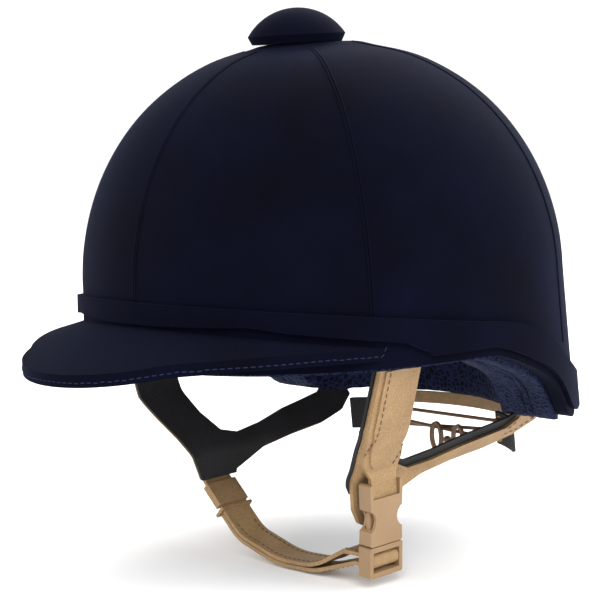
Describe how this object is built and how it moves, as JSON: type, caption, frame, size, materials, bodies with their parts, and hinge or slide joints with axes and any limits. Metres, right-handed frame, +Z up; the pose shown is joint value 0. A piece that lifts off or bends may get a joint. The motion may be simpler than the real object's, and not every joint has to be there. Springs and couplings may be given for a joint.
{
  "type": "riding helmet",
  "caption": "Velvet-covered riding helmet with a peak, a covered button, and a tan leather harness closed by a side-release buckle.",
  "frame": {"origin": "centre of the head opening, level with the rim above the ears", "axes": "+X forward to the peak, +Y the wearer's left, +Z up"},
  "size_m": [0.3089, 0.2578, 0.2856],
  "materials": {
    "velvet": "cotton velvet, short pile",
    "abs": "moulded, unpainted",
    "eps": "expanded bead foam",
    "mesh": "knitted mesh over thin foam",
    "lining_cloth": "woven cloth",
    "board": "stiff sheet",
    "steel": "plated",
    "brass": "aged",
    "wood": "turned, bare",
    "leather": "tan, matt grain",
    "suede": "black suede",
    "lace": "brown thong",
    "buckle": "moulded, satin"
  },
  "bodies": {
    "helmet": {"front_left_gore": "velvet", "left_side_gore": "velvet", "rear_left_gore": "velvet", "rear_right_gore": "velvet", "right_side_gore": "velvet", "front_right_gore": "velvet", "outer_shell": "abs", "eps_liner": "eps", "comfort_lining": "mesh", "headband_pad": "mesh", "rim_binding": "velvet", "rim_lining": "mesh", "hat_band": "velvet", "peak_edge_roll": "velvet", "peak_velvet": "velvet", "peak_core": "board", "peak_underlining": "lining_cloth", "button_screw": "steel", "button_washer": "steel", "button_core": "wood", "button_velvet": "velvet", "harness_rivets": "steel", "left_front_strap": "leather", "left_strap_facing": "leather", "left_yoke": "leather", "left_yoke_lining": "suede", "right_yoke": "leather", "right_yoke_lining": "suede", "nape_band": "leather", "left_nape_tab": "suede", "right_nape_tab": "suede", "lace_eyelets": "brass", "nape_lace": "lace", "lace_bow": "lace", "buckle_female": "buckle"},
    "chin_strap": {"chin_strap": "leather", "strap_sleeve": "leather", "buckle_male": "buckle"},
    "prong_front": {"buckle_prong_front": "buckle"},
    "prong_rear": {"buckle_prong_rear": "buckle"},
    "keeper": {"keeper_ring": "leather"}
  },
  "joints": [
    {"name": "chin_strap_swing", "type": "hinge", "parent": "helmet", "child": "chin_strap", "pos_m": [0.032, -0.05745, -0.08335], "axis": [-1, 0, 0], "range_deg": [0, 70]},
    {"name": "front_prong_squeeze", "type": "hinge", "parent": "chin_strap", "child": "prong_front", "pos_m": [0.0392, 0.06512, -0.09739], "axis": [0, -0.9975, 0.0702], "range_deg": [0, 5], "stiffness_Nm_per_rad": 0.05},
    {"name": "rear_prong_squeeze", "type": "hinge", "parent": "chin_strap", "child": "prong_rear", "pos_m": [0.0248, 0.06512, -0.09739], "axis": [0, 0.9975, -0.0702], "range_deg": [0, 5], "stiffness_Nm_per_rad": 0.05},
    {"name": "keeper_slide", "type": "slide", "parent": "chin_strap", "child": "keeper", "axis": [0, 0.7112, -0.703], "range_m": [0, 0.005]}
  ]
}
